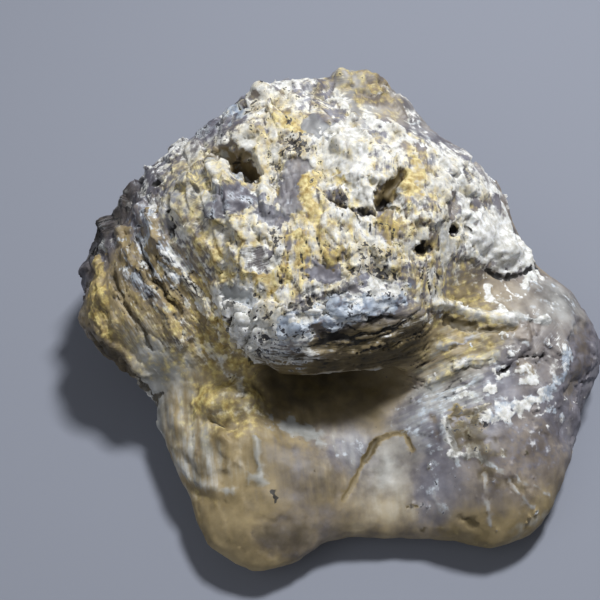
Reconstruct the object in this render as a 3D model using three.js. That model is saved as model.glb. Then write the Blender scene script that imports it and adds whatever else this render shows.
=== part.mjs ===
// A wind-cut chalcedony stone, one solid piece, in millimetres with +Z up.
// The origin is the middle of its box, on the ground that its flat spot rests on.
// +X runs to the stone's right, and -Y is its front, where the brow hangs over the apron.
//
// The form is worked out as a field: negative inside the stone, positive outside, about
// one unit to a millimetre near the skin. Rounded lobes are melted together, hollows are
// scooped out of them, flat facets are planed off, and a net of triangles is drawn tight
// over what is left.
import * as THREE from "three";
import { mergeVertices } from "three/addons/utils/BufferGeometryUtils.js";

// Driving dimensions.
const netStep = 1.45; // spacing of the grid that the skin's triangles come from
const reachX = 34; // the grid's half width
const reachY = 40; // and half depth
const top = 36; // and height
const restPlane = 0.4; // the flat spot's height
const lobeMelt = 3.2; // how far two lobes blend into each other
const browMelt = 1.6; // the same where the crown meets the apron, a tighter crease
const hollowMelt = 2; // how soft a hollow's edge is
const restMelt = 0.7; // how soft the flat spot's edge is
const waveLength = 8.5; // size of the slow swells left by weathering
const waveHeight = 0.75; // and their height
const rippleLength = 3.9; // size of the shallow dimples over them
const rippleHeight = 0.32;

// The low, spreading part: feet, apron and the wings at each side.
const apronLobes = [
  { name: "core", at: [0, 3, 7.5], radii: [22, 19, 10], turn: [0, 0, 0] },
  { name: "left foot", at: [-8.7, -18.6, 2], radii: [12.4, 17.6, 7.8], turn: [6, 0, 10] },
  { name: "right foot", at: [15.8, -15.9, 2.4], radii: [12, 17.4, 8.4], turn: [6, 0, 3] },
  { name: "apron", at: [4, -14.4, 2.2], radii: [13, 16.4, 8.8], turn: [6, 0, 0] },
  { name: "right wing", at: [20, -6.8, 6.4], radii: [12, 9.6, 7.4], turn: [0, 12, -8] },
  { name: "left shoulder", at: [-18, -0.6, 9], radii: [11.4, 12.4, 10], turn: [0, -10, 14] },
  { name: "left hip", at: [-16, -8.4, 4.6], radii: [6.8, 6.2, 6], turn: [0, 0, 30] },
];
// The high part: the crown with its flanks, the brow, and the peak behind.
const crownLobes = [
  { name: "crown", at: [-1.5, 3.5, 15.5], radii: [17.2, 15.4, 14.2], turn: [-10, 0, 0] },
  { name: "crest", at: [-7.2, 10.8, 19.1], radii: [11.2, 7.4, 9.8], turn: [0, 0, 10] },
  { name: "left flank", at: [-12, 6.4, 16], radii: [10.4, 9.5, 9.4], turn: [0, -14, 20] },
  { name: "right flank", at: [9.3, 4.8, 13.4], radii: [12.2, 10.8, 9.6], turn: [0, 18, -24] },
  { name: "tongue", at: [17.4, 3, 10.6], radii: [6, 4.6, 4], turn: [0, 14, -20] },
  { name: "brow", at: [-0.7, -8.2, 15.8], radii: [11.4, 7.4, 5.4], turn: [-4, 3, 0] },
  { name: "back peak", at: [4.8, 16.8, 13.2], radii: [9, 10.4, 11.4], turn: [0, 0, -18] },
];
// Scooped out by wind-blown sand, and one larger bite between the feet.
const hollows = [
  { name: "under the brow", at: [0.2, -15.4, 9.8], radii: [10, 7, 2.8], turn: [8, 0, 4] },
  { name: "bite between the feet", at: [5, -37.4, -1], radii: [8, 7.6, 6], turn: [0, 0, 0] },
  { name: "scallop in the apron", at: [5, -23, 12.4], radii: [5.5, 8.5, 6.6], turn: [24, 0, -12] },
  { name: "vug", at: [-8.8, 2.2, 26.8], radii: [3.2, 2.8, 2.8], turn: [0, 24, 0] },
];
// Flat cuts: the stone keeps what lies behind each plane, and melt rounds the cut's edge.
const facets = [
  { name: "crown top", on: [0, -9.5, 22.8], facing: [0.02, -0.27, 0.96], melt: 1.8 },
  { name: "crown left", on: [-15, 6, 24.4], facing: [-0.62, 0.1, 0.78], melt: 1.8 },
  { name: "crown back", on: [2, 19.6, 25], facing: [0.22, 0.75, 0.6], melt: 1.4 },
  { name: "back", on: [3, 25.4, 12], facing: [0.1, 0.97, -0.16], melt: 1.8 },
  { name: "back left", on: [-15, 16.5, 14], facing: [-0.56, 0.76, 0.3], melt: 1.8 },
  { name: "back right", on: [17, 14.5, 12], facing: [0.62, 0.7, 0.36], melt: 1.8 },
  { name: "front underside", on: [0, -9, 0], facing: [0, -0.07, -1], melt: 3.2 },
  { name: "left underside", on: [-9, -3, 0], facing: [-0.26, -0.04, -1], melt: 3.2 },
  { name: "right underside", on: [9, 0, 0], facing: [0.16, 0.03, -1], melt: 3.2 },
  { name: "back underside", on: [0, 7, 0], facing: [-0.1, 0.44, -1], melt: 3.2 },
];

// One lobe or hollow as a field, with its own turn undone first.
function ovalField({ at, radii, turn }) {
  const toOwn = new THREE.Matrix4()
    .makeRotationFromEuler(new THREE.Euler(...turn.map(THREE.MathUtils.degToRad)))
    .setPosition(...at)
    .invert();
  const size = new THREE.Vector3(...radii);
  const own = new THREE.Vector3();
  const squeezed = new THREE.Vector3();
  return (p) => {
    own.copy(p).applyMatrix4(toOwn);
    const share = squeezed.copy(own).divide(size).length();
    const slope = squeezed.divide(size).length();
    return slope > 0 ? (share * (share - 1)) / slope : -Math.min(...radii);
  };
}

function planeField({ on, facing }) {
  const normal = new THREE.Vector3(...facing).normalize();
  const depth = normal.dot(new THREE.Vector3(...on));
  return (p) => normal.dot(p) - depth;
}

// The lower of two fields, rounded over where they are within melt of each other.
function join(a, b, melt) {
  const near = Math.max(melt - Math.abs(a - b), 0) / melt;
  return Math.min(a, b) - near * near * melt * 0.25;
}

const cut = (a, b, melt) => -join(-a, -b, melt);

// A repeatable height from -1 to 1 at each point of a cubic lattice: the large odd numbers
// only scramble the point's three whole numbers.
function latticeHeight(x, y, z) {
  let mixed = Math.imul(x, 374761393) ^ Math.imul(y, 668265263) ^ Math.imul(z, 1274126177);
  mixed = Math.imul(mixed ^ (mixed >>> 13), 1103515245);
  return ((mixed ^ (mixed >>> 16)) >>> 0) / 2147483648 - 1;
}

// Smooth swells: lattice heights eased into each other.
function swell(p, length) {
  const cell = [p.x, p.y, p.z].map((v) => Math.floor(v / length));
  const ease = [p.x, p.y, p.z].map((v, i) => THREE.MathUtils.smootherstep(v / length - cell[i], 0, 1));
  let height = 0;
  for (let corner = 0; corner < 8; corner++) {
    const step = [corner & 1, (corner >> 1) & 1, corner >> 2];
    const share = step.reduce((s, on, i) => s * (on ? ease[i] : 1 - ease[i]), 1);
    height += share * latticeHeight(...cell.map((c, i) => c + step[i]));
  }
  return height;
}

const apronFields = apronLobes.map(ovalField);
const crownFields = crownLobes.map(ovalField);
const hollowFields = hollows.map(ovalField);
const facetFields = facets.map((facet) => ({ field: planeField(facet), melt: facet.melt }));

function stoneField(p) {
  const melted = (fields) => fields.map((f) => f(p)).reduce((a, b) => join(a, b, lobeMelt));
  let value = join(melted(apronFields), melted(crownFields), browMelt);
  for (const hollow of hollowFields) value = cut(value, -hollow(p), hollowMelt);
  for (const facet of facetFields) value = cut(value, facet.field(p), facet.melt);
  value += waveHeight * swell(p, waveLength) + rippleHeight * swell(p, rippleLength);
  return cut(value, restPlane - p.z, restMelt);
}

// A net of quads over the field's zero, one corner in each grid cell that the skin crosses.
function netOver(field) {
  const under = 1.5 * netStep; // the grid starts this far below the flat spot
  const spare = 4; // and runs this many steps past the far sides
  const low = new THREE.Vector3(-reachX, -reachY, restPlane - under);
  const count = [2 * reachX, 2 * reachY, top].map((length) => Math.ceil(length / netStep) + spare);
  const nodeAt = (i, j, k) => (k * count[1] + j) * count[0] + i;
  const values = new Float32Array(count[0] * count[1] * count[2]);
  const p = new THREE.Vector3();
  for (let k = 0; k < count[2]; k++)
    for (let j = 0; j < count[1]; j++)
      for (let i = 0; i < count[0]; i++)
        values[nodeAt(i, j, k)] = field(p.set(i, j, k).multiplyScalar(netStep).add(low));

  const corners = [0, 1, 2, 3, 4, 5, 6, 7].map((c) => [c & 1, (c >> 1) & 1, c >> 2]);
  const cellEdges = corners.flatMap((a, from) =>
    [0, 1, 2].filter((axis) => !a[axis]).map((axis) => [from, from | (1 << axis)]),
  );
  const positions = [];
  const cornerOf = new Map();
  for (let k = 0; k < count[2] - 1; k++)
    for (let j = 0; j < count[1] - 1; j++)
      for (let i = 0; i < count[0] - 1; i++) {
        const at = (c) => values[nodeAt(i + corners[c][0], j + corners[c][1], k + corners[c][2])];
        const crossings = cellEdges.filter(([a, b]) => at(a) < 0 !== at(b) < 0);
        if (!crossings.length) continue;
        const mean = new THREE.Vector3();
        for (const [a, b] of crossings) {
          const from = new THREE.Vector3(...corners[a]);
          mean.add(from.lerp(new THREE.Vector3(...corners[b]), at(a) / (at(a) - at(b))));
        }
        mean.divideScalar(crossings.length).add(p.set(i, j, k)).multiplyScalar(netStep).add(low);
        cornerOf.set(nodeAt(i, j, k), positions.length);
        positions.push(mean);
      }

  const quads = [];
  for (let k = 1; k < count[2] - 1; k++)
    for (let j = 1; j < count[1] - 1; j++)
      for (let i = 1; i < count[0] - 1; i++)
        for (let axis = 0; axis < 3; axis++) {
          const step = [0, 1, 2].map((a) => Number(a === axis));
          const here = values[nodeAt(i, j, k)] < 0;
          const there = values[nodeAt(i + step[0], j + step[1], k + step[2])] < 0;
          if (here === there) continue;
          const side = [0, 1, 2].map((a) => Number(a === (axis + 1) % 3));
          const up = [0, 1, 2].map((a) => Number(a === (axis + 2) % 3));
          const cell = (s, u) =>
            cornerOf.get(nodeAt(...[i, j, k].map((v, a) => v - s * side[a] - u * up[a])));
          const quad = [cell(0, 0), cell(1, 0), cell(1, 1), cell(0, 1)];
          quads.push(here ? quad : quad.reverse());
        }
  return { positions, quads };
}

// Evens out the net's corners along the skin, and puts each back on the field's zero. The
// last rounds only even them out, which takes the kinks off the sharpest creases.
function settle({ positions, quads }, field) {
  const rounds = 8;
  const looseRounds = 2;
  const slack = 0.45; // share of the way to the neighbours' middle in each round
  const probe = 0.02; // step for measuring the field's slope
  const gentlest = 0.2; // least squared slope that a push is worked out from
  const farthest = netStep / 3; // longest push back onto the skin
  const neighbours = positions.map(() => new Set());
  for (const quad of quads)
    quad.forEach((corner, n) => neighbours[corner].add(quad[(n + 1) % 4]).add(quad[(n + 3) % 4]));
  const near = new THREE.Vector3();
  const slopeAt = (p) =>
    new THREE.Vector3(
      ...["x", "y", "z"].map((axis) => {
        near.copy(p)[axis] += probe;
        const ahead = field(near);
        near[axis] -= 2 * probe;
        return (ahead - field(near)) / (2 * probe);
      }),
    );
  const ontoSkin = (p) => {
    const slope = slopeAt(p);
    const push = field(p) / Math.max(slope.lengthSq(), gentlest);
    return p.addScaledVector(slope, -THREE.MathUtils.clamp(push, -farthest, farthest));
  };
  for (let round = 0; round < rounds; round++) {
    const moved = positions.map((p, n) => {
      const middle = new THREE.Vector3();
      for (const other of neighbours[n]) middle.add(positions[other]);
      return middle.divideScalar(neighbours[n].size).lerp(p, 1 - slack);
    });
    const loose = round >= rounds - looseRounds;
    moved.forEach((p, n) => positions[n].copy(loose ? p : ontoSkin(ontoSkin(p))));
  }
}

function stoneGeometry() {
  const flatWithin = 0.1; // corners this near the rest plane lie in it
  const net = netOver(stoneField);
  settle(net, stoneField);
  for (const p of net.positions) if (p.z < restPlane + flatWithin) p.z = restPlane;
  const spots = net.positions;
  const index = net.quads.flatMap(([a, b, c, d]) =>
    spots[a].distanceTo(spots[c]) < spots[b].distanceTo(spots[d]) ? [a, b, c, a, c, d] : [a, b, d, b, c, d],
  );
  const geometry = new THREE.BufferGeometry().setFromPoints(spots).setIndex(index);
  geometry.computeBoundingBox();
  const middle = geometry.boundingBox.getCenter(new THREE.Vector3());
  geometry.translate(-middle.x, -middle.y, -geometry.boundingBox.min.z);
  const merged = mergeVertices(geometry);
  merged.computeVertexNormals();
  return merged;
}

const chalcedony = new THREE.MeshStandardMaterial({ color: 0xb7a98c, roughness: 0.62, metalness: 0 });
const stone = new THREE.Mesh(stoneGeometry(), chalcedony);
stone.name = "stone";

const ventifact = new THREE.Group();
ventifact.add(stone);

export default ventifact;
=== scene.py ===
import math

import bmesh
import bpy
import numpy as np
from mathutils import Matrix, Vector, noise
from mathutils.bvhtree import BVHTree


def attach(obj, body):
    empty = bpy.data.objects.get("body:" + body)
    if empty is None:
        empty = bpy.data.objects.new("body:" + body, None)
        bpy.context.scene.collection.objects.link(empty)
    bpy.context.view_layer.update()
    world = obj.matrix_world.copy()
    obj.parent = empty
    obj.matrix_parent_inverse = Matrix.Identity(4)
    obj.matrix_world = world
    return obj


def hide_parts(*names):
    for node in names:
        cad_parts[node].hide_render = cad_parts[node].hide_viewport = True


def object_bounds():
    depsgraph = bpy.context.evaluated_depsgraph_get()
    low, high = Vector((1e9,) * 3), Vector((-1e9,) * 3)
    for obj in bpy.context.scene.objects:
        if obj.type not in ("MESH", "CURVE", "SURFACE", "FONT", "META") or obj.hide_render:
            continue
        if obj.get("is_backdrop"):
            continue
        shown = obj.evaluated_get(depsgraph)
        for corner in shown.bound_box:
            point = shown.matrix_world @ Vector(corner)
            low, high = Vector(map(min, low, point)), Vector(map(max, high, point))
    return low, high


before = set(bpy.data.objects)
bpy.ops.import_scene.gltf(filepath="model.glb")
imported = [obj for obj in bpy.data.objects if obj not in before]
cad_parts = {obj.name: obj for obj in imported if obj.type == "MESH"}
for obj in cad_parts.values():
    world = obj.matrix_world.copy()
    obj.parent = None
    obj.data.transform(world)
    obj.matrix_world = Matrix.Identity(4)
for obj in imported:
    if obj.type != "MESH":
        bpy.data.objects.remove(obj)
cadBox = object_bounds()
mm = 0.001  # places and sizes below are in millimetres
noise.seed_set(3)  # without it the noise starts from the clock, and each run gives another stone
print("frame loaded")


# small helpers

def linear(hexColour):
    # an sRGB hex colour as linear red, green, blue and alpha
    parts = [int(hexColour[i : i + 2], 16) / 255 for i in (1, 3, 5)]
    return [p / 12.92 if p <= 0.04045 else ((p + 0.055) / 1.055) ** 2.4 for p in parts] + [1]


def ease(value, low, high):
    # 0 at low, 1 at high, smooth between them
    share = np.clip((value - low) / (high - low), 0, 1)
    return share * share * (3 - 2 * share)


def hills(places, length, seed, octaves=4):
    # hills with smaller hills on them, about -0.5 to 0.5, length mm from one to the next
    spots = (places / length + seed * 7.31).tolist()
    return np.array([noise.fractal(p, 0.8, 2.1, octaves) for p in spots])


def shoved(places, length, far, seed):
    # places pushed about by up to far mm, so that an edge drawn on them wanders
    spots = (places / length + seed * 7.31).tolist()
    return places + far * np.array([noise.noise_vector(p)[:] for p in spots])


def dice(points, seed):
    # a number from 0 to 1 that is the same wherever the point is the same
    return np.modf(np.abs(np.sin(points @ (12.9898, 78.233, 37.719) + seed) * 43758.5453))[0]


def grains(places, size, seed):
    # splits space into irregular grains: how far each place is from its grain's edge and from its
    # middle, in mm, and the middle itself
    spots = places / size + seed * 7.31
    found = [noise.voronoi(p) for p in spots.tolist()]
    first = np.array([f[1][0][:] for f in found])
    second = np.array([f[1][1][:] for f in found])
    apart = np.linalg.norm(second - first, axis=1)
    near = ((spots - first) ** 2).sum(1)
    far = ((spots - second) ** 2).sum(1)
    return (far - near) / (2 * apart) * size, (spots - first) * size, first


def axesAlong(way, out):
    # rows: along the way, across it, and out of the skin
    way = Vector(way).normalized()
    across = Vector(out).cross(way).normalized()
    return Matrix((way, across, way.cross(across)))


def corners(mesh):
    spots = np.empty(len(mesh.vertices) * 3)
    mesh.vertices.foreach_get("co", spots)
    facing = np.empty(len(mesh.vertices) * 3)
    mesh.vertex_normals.foreach_get("vector", facing)
    return spots.reshape(-1, 3) / mm, facing.reshape(-1, 3)


def moveCorners(mesh, spots):
    mesh.vertices.foreach_set("co", (spots * mm).ravel())
    mesh.update()


def withModifiers(stone, *recipes):
    # adds modifiers and applies them
    for kind, settings in recipes:
        modifier = stone.modifiers.new(kind, kind)
        for name, value in settings.items():
            setattr(modifier, name, value)
    finished = bpy.data.meshes.new_from_object(stone.evaluated_get(bpy.context.evaluated_depsgraph_get()))
    stone.modifiers.clear()
    stone.data = finished


def dropCrumbs(mesh):
    # keeps the largest closed skin, since a remesh can cut a crumb loose at a thin edge
    shape = bmesh.new()
    shape.from_mesh(mesh)
    seen = set()
    skins = []
    for start in shape.verts:
        if start in seen:
            continue
        seen.add(start)
        joined = [start]
        for corner in joined:  # it grows while its neighbours are found
            around = [edge.other_vert(corner) for edge in corner.link_edges]
            fresh = [other for other in around if other not in seen]
            seen.update(fresh)
            joined += fresh
        skins.append(joined)
    skins.sort(key=len)
    crumbs = [corner for joined in skins[:-1] for corner in joined]
    bmesh.ops.delete(shape, geom=crumbs, context="VERTS")
    shape.to_mesh(mesh)
    shape.free()
    print("crumbs dropped:", len(skins) - 1)


# floor, light and camera

studio = {
    "target": (-4.55, 0.25, 11.0),
    "elevation": 55,
    "distance": 150,
    "halfWidth": 34.25,
    "floor": "#8B909D",
    "floorSize": 3000,
    "keyFrom": (0.26, 0.36, 1.0),
    "keyDistance": 300,
    "keySize": 50,
    "keyPower": 0.9,
    "fillFrom": (-0.6, -0.7, 0.8),
    "fillSize": 300,
    "fillPower": 0.17,
    "sky": "#D2D4DA",
    "skyStrength": 0.14,
}


def addLight(name, way, size, power):
    light = bpy.data.lights.new(name, "AREA")
    light.size = size * mm
    light.energy = power
    lamp = bpy.data.objects.new(name, light)
    bpy.context.scene.collection.objects.link(lamp)
    way = Vector(way).normalized()
    lamp.location = way * studio["keyDistance"] * mm
    lamp.rotation_euler = (-way).to_track_quat("-Z", "Y").to_euler()


def addStudio():
    scene = bpy.context.scene
    scene.view_settings.view_transform = "Standard"
    bpy.ops.mesh.primitive_plane_add(size=studio["floorSize"] * mm)
    floor = bpy.context.object
    floor.name = "floor"
    paper = bpy.data.materials.new("matteStudioPaper")
    paper.use_nodes = True
    shader = paper.node_tree.nodes["Principled BSDF"]
    shader.inputs["Base Color"].default_value = linear(studio["floor"])
    shader.inputs["Roughness"].default_value = 0.9
    floor.data.materials.append(paper)
    floor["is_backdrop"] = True

    addLight("key", studio["keyFrom"], studio["keySize"], studio["keyPower"])
    addLight("fill", studio["fillFrom"], studio["fillSize"], studio["fillPower"])
    world = bpy.data.worlds.new("softRoom")
    world.use_nodes = True
    world.node_tree.nodes["Background"].inputs["Color"].default_value = linear(studio["sky"])
    world.node_tree.nodes["Background"].inputs["Strength"].default_value = studio["skyStrength"]
    scene.world = world

    lens = bpy.data.cameras.new("camera")
    lens.sensor_width = 36
    lens.lens = lens.sensor_width / 2 * studio["distance"] / studio["halfWidth"]
    lens.clip_start = 0.01
    camera = bpy.data.objects.new("camera", lens)
    scene.collection.objects.link(camera)
    raised = math.radians(studio["elevation"])
    back = Vector((0, -math.cos(raised), math.sin(raised)))
    camera.location = (Vector(studio["target"]) + back * studio["distance"]) * mm
    camera.rotation_euler = (-back).to_track_quat("-Z", "Y").to_euler()
    scene.camera = camera


addStudio()
print("studio ready")


# the stone's blank: the CAD solid with its facets melted away

blank = {
    "smoothing": 3,
    "coarseGrain": 0.45,  # corner spacing while the large features are cut
    "fineGrain": 0.22,  # and while the skin is
    "triangles": 192000,  # what is left at the end
}


def cutBlank():
    shape = bmesh.new()
    shape.from_mesh(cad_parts["stone"].data)
    bmesh.ops.remove_doubles(shape, verts=shape.verts, dist=0.001 * mm)
    for _ in range(blank["smoothing"]):
        bmesh.ops.smooth_vert(
            shape, verts=shape.verts, factor=0.5, use_axis_x=True, use_axis_y=True, use_axis_z=True
        )
    mesh = bpy.data.meshes.new("ventifact")
    shape.to_mesh(mesh)
    skin = BVHTree.FromBMesh(shape)
    shape.free()
    stone = bpy.data.objects.new("ventifact", mesh)
    bpy.context.scene.collection.objects.link(stone)
    withModifiers(
        stone,
        ("SUBSURF", {"levels": 1, "render_levels": 1}),
        ("REMESH", {"mode": "VOXEL", "voxel_size": blank["coarseGrain"] * mm}),
        ("SMOOTH", {"factor": 0.5, "iterations": 3}),
    )
    return stone, skin


# single marks on the stone: holes, lumps, ridges, cracks, streaks and bare chips

# Each has a path over the skin, a half width, and a rise out of the skin (or a drop into it). Fray
# is how ragged it is and slope is the share of its half width that its sides take up, both 1
# unless given, blend is the share over which its finishes come in, 0.45 unless given, and toward is
# the way it rises when that isn't straight out of the skin. The other values say what the finishes
# and the kinds of relief become there.
def along(path, width, rise, **rest):
    return {"path": path, "width": width, "rise": rise, **rest}


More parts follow.
